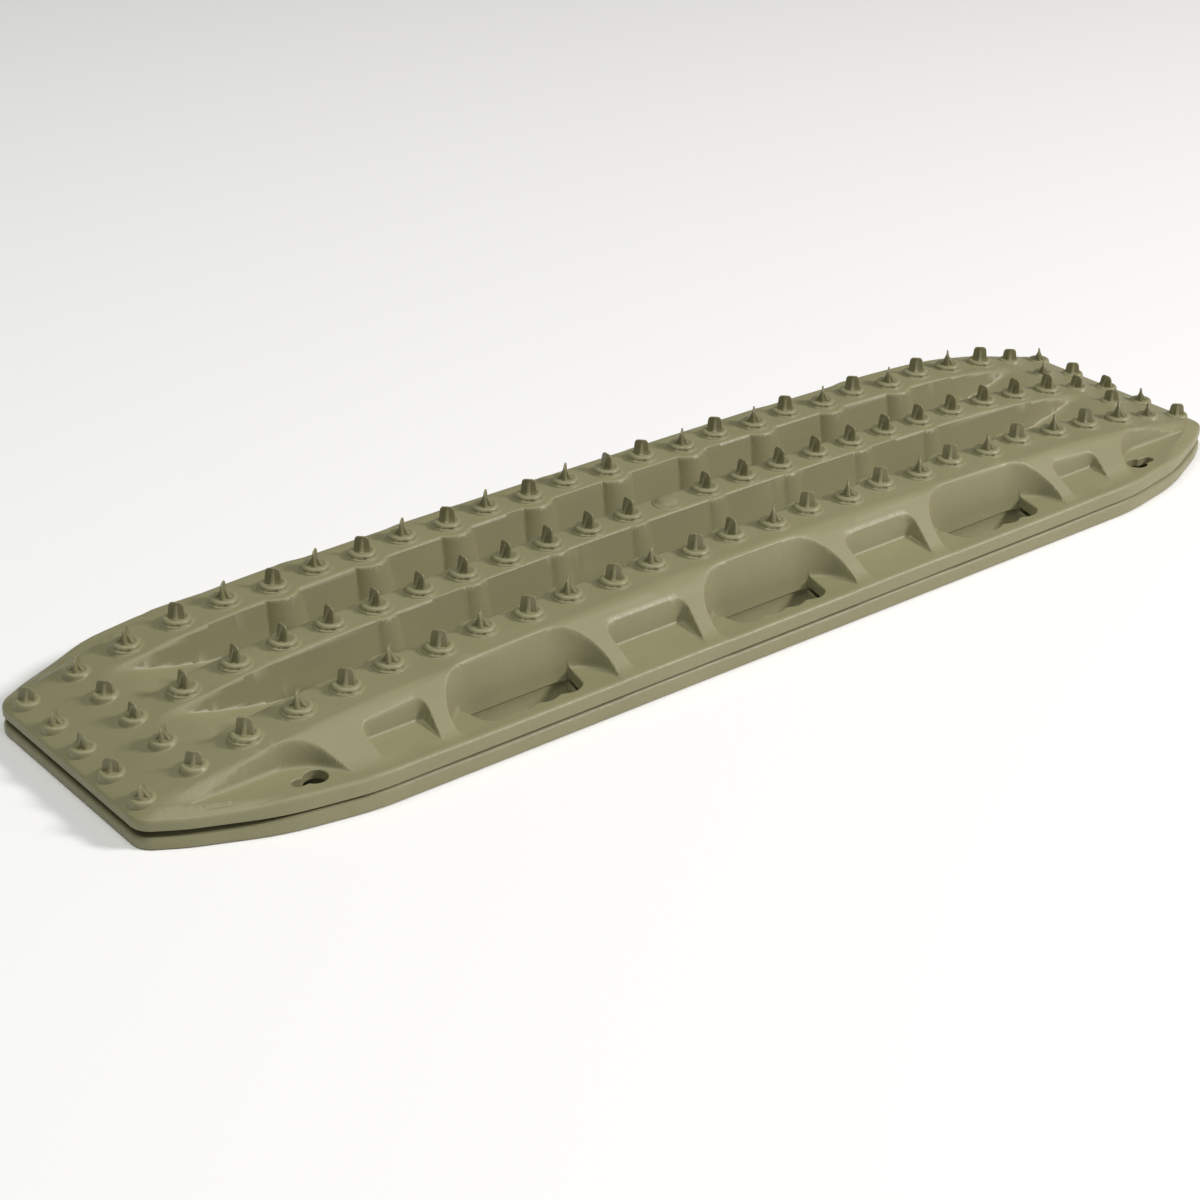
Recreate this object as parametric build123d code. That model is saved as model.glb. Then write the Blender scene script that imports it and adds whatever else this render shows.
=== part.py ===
from build123d import *
import math
import os

# ---------------------------------------------------------------- driving dimensions (mm, degrees)
LENGTH = 1150.0
WIDTH = 335.0
WALL = 2.6
DRAFT = 12.0
NEST_STEP = 15.0

# crown of the three ridges, along the length
RIDGE_TOP = 50.5
CROWN_RADIUS = 10000.0
CROWN_END = 358.0
RAMP_SLOPE = 0.262
RAMP_X = 559.0
RAMP_Z = 12.4

# outline corner, as (x, y, fillet radius), from the straight side to the end edge
OUTLINE_CORNER = [(410.0, WIDTH / 2, 200.0), (481.6, 154.4, 200.0), (545.0, 126.5, 150.0), (LENGTH / 2, 108.0, 20.0)]

# rim flange and sloping flanks
FLANGE_TOP = 13.5
RIM_RADIUS = 5.0
FLANK_SLOPE = 0.75
FLANK_SETBACK = 8.0

# channels between the ridges
CHANNEL_FLOOR = 7.0
CENTRE_RIDGE_HALF = 15.5
OUTER_RIDGE_INNER = 70.0
CENTRE_PILASTER_RADIUS = 18.0
OUTER_PILASTER_RADIUS = 20.0
CHANNEL_RUN = 464.0
CHANNEL_RISE = 0.39

# handle scoops
HANDLE_SPACING = 254.5
SHELF_Z = 13.0
HANDLE_WALL_FOOT = 120.0
HANDLE_CORNER_X = 36.0
HANDLE_CORNER_RADIUS = 38.5
SLOT_HALF_WIDTH = 51.0
SLOT_OUTER = 152.5
SCALLOP_PITCH = 22.5
SCALLOP_DEPTH = 3.2
LIP = 2.4
LIP_BOTTOM = 2.5
LIP_REACH = 8.0

# flank pockets
POCKET_BACK = 128.5
POCKET_BACK_Z = 20.0
POCKET_FRONT = 160.5
LONG_POCKET = (127.25, 34.5)
SHORT_POCKET = (369.5, 23.5)
POCKET_CORNER = 6.0

# end scoops and their keyholes
END_SCOOP_FOOT = 117.0
END_SCOOP_CORNER = 446.0
END_SCOOP_MOUTH = 413.0
END_SCOOP_MOUTH_Y = 162.0
END_SCOOP_ROUND = 15.0
KEYHOLE_Y = 139.0
KEYHOLE_LARGE = (445.5, 9.5)
KEYHOLE_SMALL = (460.5, 5.0)

# teeth
PITCH = 42.67
LAST_EVEN_ROW = 10
RAMP_PITCH = 43.4
ROWS = 13
OUTER_ROW_NEAR = 83.0
OUTER_ROW_FAR = 87.7
OUTER_ROW_END = 89.0
RAMP_ROW_MID = 44.0
COLLAR_RADIUS = 14.5
COLLAR_TOP_RADIUS = 9.5
COLLAR_HEIGHT = 4.5
COLLAR_EDGE = 0.8
COLLAR_SINK = 4.8
BOSS_RADIUS = 10.0
BOSS_RISE = 4.0
TOOTH_HEIGHT = 13.0
RAMP_COLLAR_HEIGHT = 2.5
RAMP_TOOTH_HEIGHT = 11.0
TOOTH_BASE = 14.0
TOOTH_CREST = 8.6
TOOTH_THICK = 4.0
CREST_THICK = 1.5
GUSSET_REACH = 12.0
GUSSET_THICK = 2.6
TIP_CLEARANCE = 0.4
POCKET_RADIUS = 7.6
POCKET_TOP_RADIUS = 6.2

# stiffening ribs under the ridges and the channel floors
RIB = 2.2
RIB_DEPTH = 8.0
FLOOR_RIB_BOTTOM = 1.2
FLOOR_RIB_MIDDLE = 40.5
FLOOR_RIB_WIDTH = 28.0

HIGH = 80.0
DEEP = -6.0
DRAFT_RUN = math.tan(math.radians(DRAFT))


# ---------------------------------------------------------------- heights and tooth places
def crown(x):
    return RIDGE_TOP - x * x / (2 * CROWN_RADIUS)


def ramp(x):
    return RAMP_Z + RAMP_SLOPE * (RAMP_X - abs(x))


def blend_arc():
    """Start and end of the arc that joins the crown to the ramp."""
    slope = CROWN_END / CROWN_RADIUS
    level = ramp(0)
    corner_x = (level - crown(CROWN_END) - slope * CROWN_END) / (RAMP_SLOPE - slope)
    reach = math.hypot(corner_x - CROWN_END, slope * (corner_x - CROWN_END))
    end_x = corner_x + reach * math.cos(math.atan(RAMP_SLOPE))
    return (CROWN_END, crown(CROWN_END)), (end_x, ramp(end_x))


def ridge_height(x):
    """Height of the ridge tops at x."""
    (start_x, start_z), (end_x, end_z) = blend_arc()
    x = abs(x)
    if x <= start_x:
        return crown(x)
    if x >= end_x:
        return ramp(x)
    turn = math.atan(RAMP_SLOPE) - math.atan(CROWN_END / CROWN_RADIUS)
    radius = math.hypot(end_x - start_x, end_z - start_z) / (2 * math.sin(turn / 2))
    centre_x = start_x - radius * math.sin(math.atan(CROWN_END / CROWN_RADIUS))
    centre_z = start_z - radius * math.cos(math.atan(CROWN_END / CROWN_RADIUS))
    return centre_z + math.sqrt(radius ** 2 - (x - centre_x) ** 2)


def row_x(k):
    """Distance of tooth row k from the middle of the board."""
    if abs(k) <= LAST_EVEN_ROW:
        return PITCH * k
    return math.copysign(PITCH * LAST_EVEN_ROW + 2.3 + RAMP_PITCH * (abs(k) - LAST_EVEN_ROW), k)


def outer_row_y(k):
    if abs(k) > 8:
        return OUTER_ROW_END
    return OUTER_ROW_NEAR if k % 2 == 0 else OUTER_ROW_FAR


def crest_angle(k, side):
    """Direction of a tooth's crest from +X, for the outer rows."""
    if k == 0:
        return 90
    turn = 45 if k % 2 == 0 else -45
    if abs(k) >= ROWS - 1:
        turn = -turn
    return turn * side * (1 if k > 0 else -1)


def tooth_places():
    """Every tooth as (group, x, y, crest angle, is on a ramp)."""
    places = []
    for k in range(-ROWS, ROWS + 1):
        x = row_x(k)
        on_ramp = abs(k) >= ROWS - 1
        end = "front" if k > 0 else "rear"
        group = {-1: "right_row", 0: "centre_row", 1: "left_row"}
        for side in (-1, 0, 1):
            if k == 0 and side == 0:
                continue
            angle = 90 if side == 0 else crest_angle(k, side)
            name = end + "_ramp" if on_ramp else group[side]
            places.append((name, x, side * outer_row_y(k), angle, on_ramp))
        if on_ramp:
            for side in (-1, 1):
                places.append((end + "_ramp", x, side * RAMP_ROW_MID, -crest_angle(k, side), True))
    return places


def collar_height(on_ramp):
    return RAMP_COLLAR_HEIGHT if on_ramp else COLLAR_HEIGHT


def tooth_height(on_ramp):
    return RAMP_TOOTH_HEIGHT if on_ramp else TOOTH_HEIGHT


# ---------------------------------------------------------------- building blocks
def outline(inset=0.0):
    """Plan of one board, moved inward by inset."""
    corner = [(x, y) for x, y, radius in OUTLINE_CORNER]
    points = corner + [(x, -y) for x, y in reversed(corner)]
    points += [(-x, y) for x, y in reversed(points)]
    radii = [radius for x, y, radius in OUTLINE_CORNER]
    radii += radii[::-1]
    radii += radii[::-1]
    face = make_face(Polyline(*points, close=True))
    for (x, y), radius in zip(points, radii):
        corner_vertex = face.vertices().sort_by_distance((x, y, 0))[0]
        face = fillet(corner_vertex, radius)
        face = face.faces()[0]
    if inset:
        face = offset(face, -inset).faces()[0]
    return face


def prism(face, low, high):
    """The plan face extruded from low to high."""
    return extrude(Pos(0, 0, low) * face, high - low, dir=(0, 0, 1))


def profile_prism(points, half_width):
    """A closed outline in X and Z, extruded across the board."""
    face = make_face(Plane.XZ * Polyline(*points, close=True))
    return extrude(face, half_width, both=True)


def crown_prism(inset):
    """Everything below the ridge tops, lowered by inset: one flat facet under each tooth row."""
    breaks = [(row_x(k) + row_x(k + 1)) / 2 for k in range(ROWS)]
    half = [(x, ridge_height(x)) for x in breaks] + [(LENGTH, ramp(LENGTH)), (LENGTH, -LENGTH)]
    points = [(x, z - inset) for x, z in [(-x, z) for x, z in reversed(half)] + half]
    return profile_prism(points, WIDTH)


def flank_block(inset):
    """A block whose sides lean in at the flank slope, all round the board."""
    lean = math.hypot(1, FLANK_SLOPE)
    block = Pos(0, 0, HIGH / 2 + DEEP) * Box(2 * LENGTH, 2 * WIDTH, HIGH)
    corner = [(0.0, WIDTH / 2)] + [(x, y) for x, y, radius in OUTLINE_CORNER]
    for (x0, y0), (x1, y1) in zip(corner, corner[1:]):
        span = math.hypot(x1 - x0, y1 - y0)
        nx, ny = -(y1 - y0) / span, (x1 - x0) / span
        for sx in (-1, 1):
            for sy in (-1, 1):
                if y0 == y1 and sx < 0:
                    continue
                normal = Vector(sx * nx * FLANK_SLOPE, sy * ny * FLANK_SLOPE, 1) / lean
                base = Vector(sx * (x0 - nx * FLANK_SETBACK), sy * (y0 - ny * FLANK_SETBACK), FLANGE_TOP)
                cut = Plane(origin=base - normal * inset, z_dir=normal)
                block = split(block, bisect_by=cut, keep=Keep.BOTTOM)
    return block


def drafted(face, floor, inset):
    """A cutter that opens upward from the floor plan at the draft angle, grown by inset."""
    if inset:
        grow = inset / math.cos(math.radians(DRAFT)) - inset * DRAFT_RUN
        face = offset(face, grow).faces()[0]
    return extrude(Pos(0, 0, floor - inset) * face, HIGH - floor, dir=(0, 0, 1), taper=-DRAFT)


def cone_post(x, y, top_radius, inset):
    """A pilaster: a drafted round post centred on a tooth."""
    radius = top_radius - inset / math.cos(math.radians(DRAFT))
    height = RIDGE_TOP - DEEP
    return Pos(x, y, DEEP + height / 2) * Cone(radius + height * DRAFT_RUN, radius, height)


def channel(inset):
    """The meandering channel between the centre ridge and an outer ridge."""
    floor = CHANNEL_FLOOR - inset
    wall = inset / math.cos(math.radians(DRAFT))
    run = (RIDGE_TOP - floor) * DRAFT_RUN
    rise = (HIGH - RIDGE_TOP) * DRAFT_RUN
    inner, outer = CENTRE_RIDGE_HALF - wall, OUTER_RIDGE_INNER + wall
    section = [(inner + run, floor), (outer - run, floor), (outer + rise, HIGH), (inner - rise, HIGH)]
    trough = extrude(make_face(Plane.YZ * Polyline(*section, close=True)), LENGTH / 2, both=True)
    top_x = CHANNEL_RUN + (HIGH - CHANNEL_FLOOR) / CHANNEL_RISE
    bed = [(-CHANNEL_RUN, floor), (CHANNEL_RUN, floor), (top_x, HIGH - inset), (-top_x, HIGH - inset)]
    trough = trough & profile_prism(bed, WIDTH)
    posts = []
    for k in range(-8, 9):
        if k % 2 == 0:
            posts.append(cone_post(row_x(k), OUTER_ROW_NEAR, OUTER_PILASTER_RADIUS, inset))
        else:
            posts.append(cone_post(row_x(k), 0, CENTRE_PILASTER_RADIUS, inset))
    return trough - posts


def handle_plan():
    """Floor plan of a handle scoop: straight back wall, quarter rounds, open to the rim."""
    radius = HANDLE_CORNER_RADIUS
    x = HANDLE_CORNER_X
    y = HANDLE_WALL_FOOT
    diagonal = radius / math.sqrt(2)
    with BuildLine() as line:
        Line((-x, y), (x, y))
        ThreePointArc((x, y), (x + diagonal, y + radius - diagonal), (x + radius, y + radius))
        Polyline((x + radius, y + radius), (x + radius, WIDTH), (-x - radius, WIDTH), (-x - radius, y + radius))
        ThreePointArc((-x - radius, y + radius), (-x - diagonal, y + radius - diagonal), (-x, y))
    return make_face(line.line)


def slot_plan():
    """Plan of the finger slot, with a scallop for each finger along its outer edge."""
    y = SLOT_OUTER
    edge = 2 * SCALLOP_PITCH
    with BuildLine() as line:
        Polyline((-edge, y), (-SLOT_HALF_WIDTH, HANDLE_WALL_FOOT), (SLOT_HALF_WIDTH, HANDLE_WALL_FOOT), (edge, y))
        for finger in range(4):
            x = edge - finger * SCALLOP_PITCH
            ThreePointArc((x, y), (x - SCALLOP_PITCH / 2, y + SCALLOP_DEPTH), (x - SCALLOP_PITCH, y))
    return (make_face(line.line) & handle_plan()).faces()[0]


def pocket(centre, half, inset):
    """A shallow rectangular pocket in the flank, with a floor that falls towards the rim."""
    foot = POCKET_BACK + POCKET_BACK_Z * DRAFT_RUN
    depth = POCKET_FRONT + 2 - foot
    face = Pos(centre, foot + depth / 2) * Rectangle(2 * (half - 2), depth)
    back = face.vertices().group_by(Axis.Y)[0]
    face = fillet(back, POCKET_CORNER).faces()[0]
    cutter = drafted(face, 0, inset)
    fall = (POCKET_BACK_Z - FLANGE_TOP) / (POCKET_FRONT - POCKET_BACK)
    normal = Vector(0, fall, 1).normalized()
    bed = Plane(origin=Vector(0, POCKET_FRONT, FLANGE_TOP) - normal * inset, z_dir=normal)
    return split(cutter, bisect_by=bed, keep=Keep.TOP)


def end_scoop_plan():
    """Floor plan of the scoop at an end of the flank, open to the rim."""
    points = [
        (LENGTH, END_SCOOP_FOOT),
        (END_SCOOP_CORNER, END_SCOOP_FOOT),
        (END_SCOOP_MOUTH, END_SCOOP_MOUTH_Y),
        (END_SCOOP_MOUTH, WIDTH),
        (LENGTH, WIDTH),
    ]
    face = make_face(Polyline(*points, close=True))
    corner = face.vertices().sort_by_distance((END_SCOOP_CORNER, END_SCOOP_FOOT, 0))[0]
    return fillet(corner, END_SCOOP_ROUND).faces()[0]


def keyhole_plan():
    (large_x, large_r), (small_x, small_r) = KEYHOLE_LARGE, KEYHOLE_SMALL
    neck = Pos((large_x + small_x) / 2, KEYHOLE_Y) * Rectangle(small_x - large_x, 2 * small_r)
    return neck + Pos(large_x, KEYHOLE_Y) * Circle(large_r) + Pos(small_x, KEYHOLE_Y) * Circle(small_r)


def both_sides(shape):
    return [shape, mirror(shape, about=Plane.XZ)]


def four_ways(shape):
    """A shape and its mirror images about both middle planes."""
    other = mirror(shape, about=Plane.YZ)
    return both_sides(shape) + both_sides(other)


def at_handles(shapes):
    """The shapes repeated at the three handles of each side."""
    spots = (-HANDLE_SPACING, 0.0, HANDLE_SPACING)
    return [copy for spot in spots for shape in shapes for copy in both_sides(Pos(spot, 0, 0) * shape)]


# ---------------------------------------------------------------- the board
def board_form(inset):
    """The solid under the top surface of a board, moved inward by inset."""
    low = DEEP if inset else 0.0
    plan = outline(inset)
    flange = prism(plan, low, FLANGE_TOP - inset)
    if not inset:
        flange = fillet(flange.edges().group_by(Axis.Z)[-1], RIM_RADIUS)
    raised = flank_block(inset) & prism(plan, low, HIGH)
    form = (flange + raised) & crown_prism(inset)
    cutters = both_sides(channel(inset)) + at_handles([drafted(handle_plan(), SHELF_Z, inset)])
    for centre, half in (LONG_POCKET, SHORT_POCKET):
        cutters += four_ways(pocket(centre, half, inset))
    cutters += four_ways(drafted(end_scoop_plan(), SHELF_Z, inset))
    return form - cutters


def collars():
    """The round seat under every tooth, and the blank domed boss in the middle."""
    places = [(x, y, collar_height(on_ramp)) for group, x, y, angle, on_ramp in tooth_places()]
    places.append((0.0, 0.0, COLLAR_HEIGHT))
    seats = [Pos(0, 0, RIDGE_TOP + COLLAR_HEIGHT - BOSS_RADIUS + BOSS_RISE) * Sphere(BOSS_RADIUS)]
    for x, y, height in places:
        edge = ridge_height(x) + COLLAR_EDGE
        cap = height - COLLAR_EDGE
        skirt = Pos(0, 0, -COLLAR_SINK / 2) * Cylinder(COLLAR_RADIUS, COLLAR_SINK)
        crest = Pos(0, 0, cap / 2) * Cone(COLLAR_RADIUS, COLLAR_TOP_RADIUS, cap)
        seats.append(Pos(x, y, edge) * (skirt + crest))
    return seats


def tip_pockets():
    """Blind holes under the collars, where the teeth of a board nested below reach in."""
    holes = []
    for group, x, y, angle, on_ramp in tooth_places():
        tip = ridge_height(x) + collar_height(on_ramp) + tooth_height(on_ramp)
        top = tip - NEST_STEP + TIP_CLEARANCE
        bottom = ridge_height(x) - WALL - 8
        flare = POCKET_TOP_RADIUS + (POCKET_RADIUS - POCKET_TOP_RADIUS) * (top - bottom) / 6
        holes.append(Pos(x, y, (top + bottom) / 2) * Cone(flare, POCKET_TOP_RADIUS, top - bottom))
    return holes


def ridge_ribs():
    """Cross ribs under the ridge tops, midway between the tooth rows."""
    ribs = []
    for k in range(-ROWS, ROWS):
        x = (row_x(k) + row_x(k + 1)) / 2
        top = ridge_height(x)
        ribs.append(Pos(x, 0, top - RIB_DEPTH / 2 - WALL) * Box(RIB, WIDTH, RIB_DEPTH + 2))
    return ribs


def floor_ribs():
    """Low ribs under the channel floors."""
    height = CHANNEL_FLOOR - WALL - FLOOR_RIB_BOTTOM + 1
    middle = Pos(0, FLOOR_RIB_MIDDLE, FLOOR_RIB_BOTTOM + height / 2)
    ribs = both_sides(middle * Box(2 * CHANNEL_RUN, RIB, height))
    for k in range(-LAST_EVEN_ROW, LAST_EVEN_ROW + 1):
        ribs += both_sides(Pos(row_x(k), 0, 0) * middle * Box(RIB, FLOOR_RIB_WIDTH, height))
    return ribs


def slot_lips():
    """Lips under the finger slots: the back wall carried down, and a rolled edge on the grip side."""
    depth = SHELF_Z - LIP_BOTTOM
    floor = handle_plan()
    wall = []
    for face in (offset(floor, LIP).faces()[0], floor):
        wall.append(extrude(Pos(0, 0, SHELF_Z) * face, depth, dir=(0, 0, -1), taper=DRAFT))
    reach = Pos(0, HANDLE_WALL_FOOT, 0) * Box(2 * SLOT_HALF_WIDTH, 2 * LIP_REACH, 4 * SHELF_Z)
    back = (wall[0] - wall[1]) & reach
    slot = slot_plan()
    ring = offset(slot, LIP, kind=Kind.INTERSECTION).faces()[0] - slot
    grip = prism(ring, LIP_BOTTOM, SHELF_Z - 1)
    grip = split(grip, bisect_by=Plane(origin=(0, HANDLE_WALL_FOOT + LIP_REACH, 0), z_dir=(0, 1, 0)), keep=Keep.TOP)
    return back.solids() + grip.solids()


def build_board():
    skin = board_form(0) + collars() - board_form(WALL)
    ribs = board_form(WALL / 2) & Compound(ridge_ribs() + floor_ribs())
    low, high = SHELF_Z - WALL - 2, SHELF_Z + 2
    slots = at_handles([prism(slot_plan(), low, high)])
    keyholes = four_ways(prism(keyhole_plan(), low, high))
    return skin + ribs.solids() + at_handles(slot_lips()) - (tip_pockets() + slots + keyholes)


# ---------------------------------------------------------------- the teeth
def wedge(length, thick, top_length, top_thick, height):
    """A block that narrows both ways towards its top, standing on z = 0."""
    base = Rectangle(length, thick)
    top = Pos(0, 0, height) * Rectangle(top_length, top_thick)
    return loft([base.face(), top.face()], ruled=True)


def tooth(height):
    """A chisel tooth: a thin blade with a gusset rib up each face."""
    blade = wedge(TOOTH_BASE, TOOTH_THICK, TOOTH_CREST, CREST_THICK, height)
    gusset = wedge(GUSSET_THICK, GUSSET_REACH, CREST_THICK, CREST_THICK, height * 0.92)
    return (blade + gusset).solids()[0]


def build_teeth():
    """The teeth of one board, as a list of solids for each group."""
    shapes = {on_ramp: tooth(tooth_height(on_ramp)) for on_ramp in (False, True)}
    groups = {}
    for group, x, y, angle, on_ramp in tooth_places():
        seat = ridge_height(x) + collar_height(on_ramp)
        placed = Pos(x, y, seat) * Rot(0, 0, angle) * shapes[on_ramp]
        groups.setdefault(group, []).append(placed)
    return groups


def save(name, solids):
    shape = Compound(children=list(solids)) if len(solids) > 1 else solids[0]
    export_step(shape, os.path.join("parts", name + ".step"))


os.makedirs("parts", exist_ok=True)
board = build_board()
teeth = build_teeth()
for level, name in ((0.0, "lower"), (NEST_STEP, "upper")):
    lift = Pos(0, 0, level)
    save(name + "_board", [lift * solid for solid in board.solids()])
    for group, solids in teeth.items():
        save(name + "_" + group + "_teeth", [lift * solid for solid in solids])
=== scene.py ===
"""Looks of a nested pair of traction boards. Lengths are in mm unless a name says otherwise."""

import math

import bpy
import numpy as np
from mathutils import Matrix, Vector
from mathutils.geometry import delaunay_2d_cdt


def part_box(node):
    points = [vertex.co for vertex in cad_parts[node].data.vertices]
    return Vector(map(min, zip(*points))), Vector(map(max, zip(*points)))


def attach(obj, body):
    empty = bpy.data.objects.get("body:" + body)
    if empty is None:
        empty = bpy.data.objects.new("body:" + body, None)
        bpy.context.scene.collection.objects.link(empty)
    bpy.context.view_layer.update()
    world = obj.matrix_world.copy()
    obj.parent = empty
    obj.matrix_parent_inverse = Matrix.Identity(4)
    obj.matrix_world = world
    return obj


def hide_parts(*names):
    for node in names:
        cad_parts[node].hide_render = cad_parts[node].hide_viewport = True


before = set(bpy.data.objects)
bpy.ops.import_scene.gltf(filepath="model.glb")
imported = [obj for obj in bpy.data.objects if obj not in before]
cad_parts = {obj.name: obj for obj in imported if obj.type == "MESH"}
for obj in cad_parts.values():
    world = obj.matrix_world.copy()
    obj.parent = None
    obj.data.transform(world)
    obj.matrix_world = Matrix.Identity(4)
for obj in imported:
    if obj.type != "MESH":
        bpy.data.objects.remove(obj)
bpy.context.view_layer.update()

MM = 0.001

# ---------------------------------------------------------------- sizes taken from the frame
BOARD_LOW, BOARD_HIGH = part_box("lower_board")
LENGTH = (BOARD_HIGH.x - BOARD_LOW.x) / MM
WIDTH = (BOARD_HIGH.y - BOARD_LOW.y) / MM
NEST_STEP = (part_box("upper_board")[0].z - BOARD_LOW.z) / MM

# ---------------------------------------------------------------- the board's form
WALL = 2.6
DRAFT = math.radians(12)
DRAFT_RUN = math.tan(DRAFT)
DRAFT_COS = math.cos(DRAFT)

RIDGE_TOP = 50.5
CROWN_RADIUS = 10000.0
CROWN_END = 358.0
RAMP_SLOPE = 0.262
RAMP_X = 559.0
RAMP_Z = 12.4

OUTLINE = [(410.0, WIDTH / 2), (481.6, 154.4), (545.0, 126.5), (LENGTH / 2, 108.0)]
OUTLINE_RADII = [200.0, 200.0, 150.0, 20.0]

FLANGE_TOP = 13.5
FLANK_SLOPE = 0.75
FLANK_SETBACK = 8.0
RIM_ROUND = 4.0
RIM_BAND = 6.0
END_RIM_TOP = 8.2
END_RIM_SLOPE = 0.45
END_RIM_FROM, END_RIM_TO = 420.0, 530.0

CHANNEL_FLOOR = 7.0
CENTRE_RIDGE_HALF = 15.5
OUTER_RIDGE_INNER = 70.0
CENTRE_PILASTER_RADIUS = 18.0
OUTER_PILASTER_RADIUS = 20.0
CHANNEL_RUN = 440.0
CHANNEL_RISE = 0.39
CHANNEL_BEND = 25.0
CHANNEL_EDGE, CHANNEL_END_EDGE = 2.0, 9.0

HANDLE_SPACING = 254.5
SHELF_Z = 13.0
HANDLE_WALL_FOOT = 120.0
HANDLE_CORNER_X = 36.0
HANDLE_CORNER_RADIUS = 38.5
SLOT_LEVEL = 16.0
SLOT_OUTER = 152.5
SLOT_HALF = 46.0
SLOT_TIP = 53.0
SLOT_END_TURN = math.radians(21)
SLOT_EDGE = 1.5
SLOT_UNDER = 3.6
SCALLOP_PITCH = 22.5
SCALLOP_DEPTH = 3.2
LIP = 2.4
LIP_BOTTOM = 2.5

POCKET_FOOT = 132.75
POCKET_FRONT = 160.5
POCKET_FALL = 0.203
POCKETS = [(127.25, 34.5), (369.5, 23.5)]
POCKET_INSET = 2.0
POCKET_CORNER = 1.0

END_SCOOP_FOOT = 117.0
END_SCOOP_CORNER = 446.0
END_SCOOP_NORMAL = (-0.806, -0.591)
END_SCOOP_ROUND = 15.0
KEYHOLE_Y = 139.0
KEYHOLE_LARGE = (445.5, 9.5)
KEYHOLE_SMALL = (460.5, 5.0)
KEYHOLE_LIP_BOTTOM = 5.0
KEYHOLE_EDGE = 1.2
KEYHOLE_UNDER = 3.0

# radii of the edges (E) and inner corners (C) of the form
FLANK_E = 15.0
FLANGE_C = 4.0
CREST_E = 2.6
END_RIM_E = 1.5
PILASTER_C = 0.6
CHANNEL_C = 3.0
SHELF_C = 2.5
POCKET_E = 1.2
POCKET_C = 1.5
POCKET_BED_C = 1.0
SEAT_C = 0.7

# ---------------------------------------------------------------- teeth and their seats
PITCH = 42.67
LAST_EVEN_ROW = 10
RAMP_PITCH = 43.4
ROWS = 13
OUTER_ROW_NEAR = 83.0
OUTER_ROW_FAR = 87.7
OUTER_ROW_END = 89.0
RAMP_ROW_MID = 44.0
COLLAR_HEIGHT = 4.5
RAMP_COLLAR_HEIGHT = 2.5
# a seat's rolled ring as (radius, half width, level of its middle), and the level inside it
SEAT_RING, SEAT_FLOOR = (9.0, 3.1, 2.4), 4.0
LOW_SEAT_RING, LOW_SEAT_FLOOR = (7.9, 2.8, 1.0), 2.9
RING_FALL = 4.0
BRIM_HEIGHT = 1.2
BRIM_FALL = 3.0
SEAT_BRIM = 13.2
BOSS_BRIM = 12.4
SEAT_REACH = 7.0
STEEPEST = 12.0
NOTHING = -99.0
TOOTH_HEIGHT = 13.0
RAMP_TOOTH_HEIGHT = 11.0
TOOTH_HALF_FOOT, TOOTH_HALF_CREST = 7.2, 5.6
TOOTH_CORNER_RISE, TOOTH_CORNER_RUN = 3.2, 2.8
TOOTH_CREST_ROUND = 0.6
BOSS_RADIUS = 10.8
BOSS_HEIGHT = 5.2
TIP_POCKET_TOP = 6.2
TIP_POCKET_MOUTH = 7.6
TIP_POCKET_DEPTH = 5.5
TIP_CLEARANCE = 0.4

RIB = 2.2
RIDGE_RIB_DEPTH = 11.6
FLOOR_RIB_BOTTOM = 1.2
FLOOR_RIB_MIDDLE = 40.5
FLOOR_RIB_WIDTH = 28.0

# ---------------------------------------------------------------- mesh fineness
TOP_TOLERANCE = 0.2
UNDER_TOLERANCE = 0.6
COARSE_CELL = 8.0
FLAT_LIMIT = 3.0
TOP_CELL = 1.0
UNDER_CELL = 2.0
SEAT_RINGS = (5.9, 6.3, 7.6, 9.2, 10.7, 11.6, 12.1, 12.7, 13.3, 14.6)
LOW_SEAT_SHRINK = 1.3
SEAT_SEGMENTS = 26
TIP_RINGS = (6.2, 7.5, 8.6)
TIP_SEGMENTS = 16


# ---------------------------------------------------------------- signed depths, below zero inside
def union(a, b, radius):
    """Material where either is below zero, with a fillet of that radius in the corner between them."""
    return np.maximum(radius, np.minimum(a, b)) - np.hypot(
        np.maximum(radius - a, 0), np.maximum(radius - b, 0)
    )


def overlap(a, b, radius):
    """Material where both are below zero, with the edge between them rounded."""
    return np.minimum(-radius, np.maximum(a, b)) + np.hypot(
        np.maximum(radius + a, 0), np.maximum(radius + b, 0)
    )


def corner_gap(u, w, radius):
    """Distance out of the corner u < 0, w < 0, rounded by that radius."""
    gap = np.hypot(np.maximum(u, 0), np.maximum(w, 0)) + np.minimum(np.maximum(u, w), 0)
    return gap - radius


def smooth(value, start, end):
    t = np.clip((value - start) / (end - start), 0, 1)
    return t * t * (3 - 2 * t)


# ---------------------------------------------------------------- ridge line and tooth places
def ramp(x):
    return RAMP_Z + RAMP_SLOPE * (RAMP_X - x)


def ridge_blend():
    """End of the arc between crown and ramp, and the arc's centre and radius."""
    slope = CROWN_END / CROWN_RADIUS
    start_z = RIDGE_TOP - CROWN_END**2 / (2 * CROWN_RADIUS)
    corner_x = (ramp(0) - start_z - slope * CROWN_END) / (RAMP_SLOPE - slope)
    reach = math.hypot(corner_x - CROWN_END, slope * (corner_x - CROWN_END))
    end_x = corner_x + reach * math.cos(math.atan(RAMP_SLOPE))
    turn = math.atan(RAMP_SLOPE) - math.atan(slope)
    radius = math.hypot(end_x - CROWN_END, ramp(end_x) - start_z) / (2 * math.sin(turn / 2))
    centre_x = CROWN_END - radius * math.sin(math.atan(slope))
    centre_z = start_z - radius * math.cos(math.atan(slope))
    return end_x, centre_x, centre_z, radius


BLEND_END, BLEND_X, BLEND_Z, BLEND_RADIUS = ridge_blend()


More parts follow.
